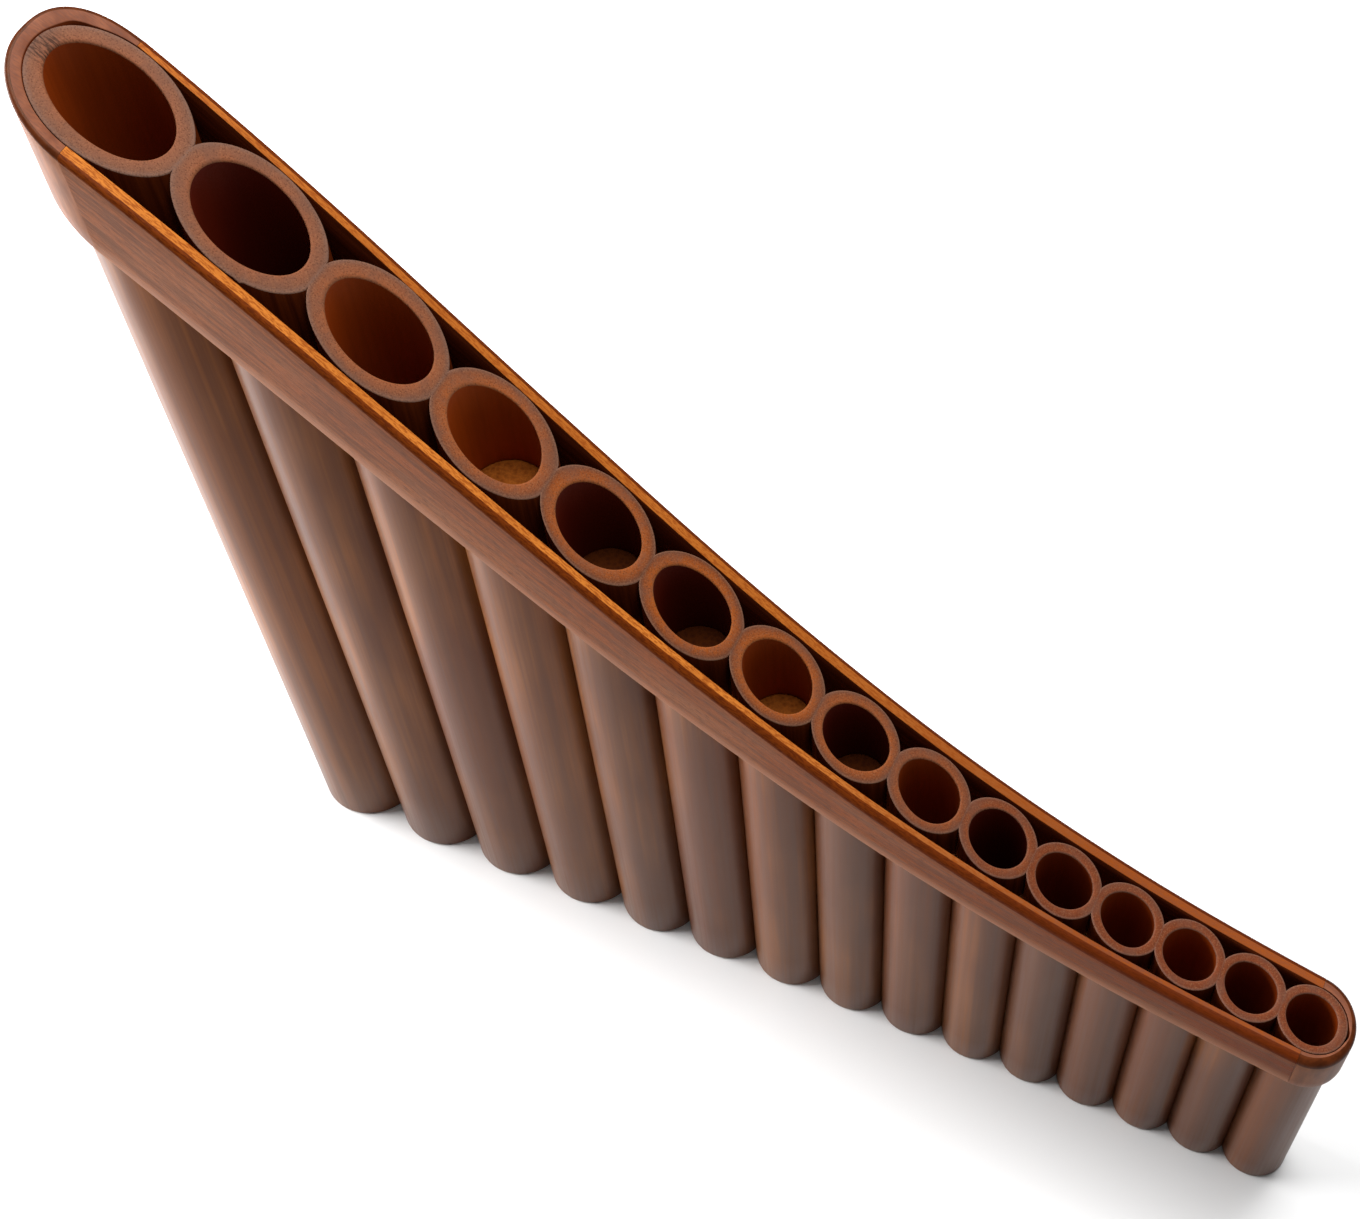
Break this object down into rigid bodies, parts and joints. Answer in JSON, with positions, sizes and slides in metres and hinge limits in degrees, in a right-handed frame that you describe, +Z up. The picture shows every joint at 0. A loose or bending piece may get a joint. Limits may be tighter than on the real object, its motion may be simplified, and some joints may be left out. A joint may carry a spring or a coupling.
{
  "type": "pan flute",
  "caption": "Straight row of bamboo pipes of falling length with corked bores, held near the mouths by two thin wooden strips and two half-round end blocks.",
  "frame": {"origin": "middle of the row's length and depth, on the ground that the pipes' lower ends stand on", "axes": "+X along the row from the longest pipe to the shortest, +Y from the front strip to the back strip, +Z up the pipes to their mouths"},
  "size_m": [0.264, 0.0294, 0.2439],
  "materials": {
    "bamboo": "stained bamboo with a satin oil finish and fine upright fibres",
    "cork": "matt granular cork",
    "band_strip": "oiled reddish hardwood with long grain and a darker rounded top edge",
    "end_block": "oiled reddish hardwood, end grain on top"
  },
  "bodies": {
    "root": {"pipe_01": "bamboo", "pipe_02": "bamboo", "pipe_03": "bamboo", "pipe_04": "bamboo", "pipe_05": "bamboo", "pipe_06": "bamboo", "pipe_07": "bamboo", "pipe_08": "bamboo", "pipe_09": "bamboo", "pipe_10": "bamboo", "pipe_11": "bamboo", "pipe_12": "bamboo", "pipe_13": "bamboo", "pipe_14": "bamboo", "pipe_15": "bamboo", "cork_01": "cork", "cork_02": "cork", "cork_03": "cork", "cork_04": "cork", "cork_05": "cork", "cork_06": "cork", "cork_07": "cork", "cork_08": "cork", "cork_09": "cork", "cork_10": "cork", "cork_11": "cork", "cork_12": "cork", "cork_13": "cork", "cork_14": "cork", "cork_15": "cork", "front_strip": "band_strip", "back_strip": "band_strip", "low_end_block": "end_block", "high_end_block": "end_block"}
  },
  "joints": []
}
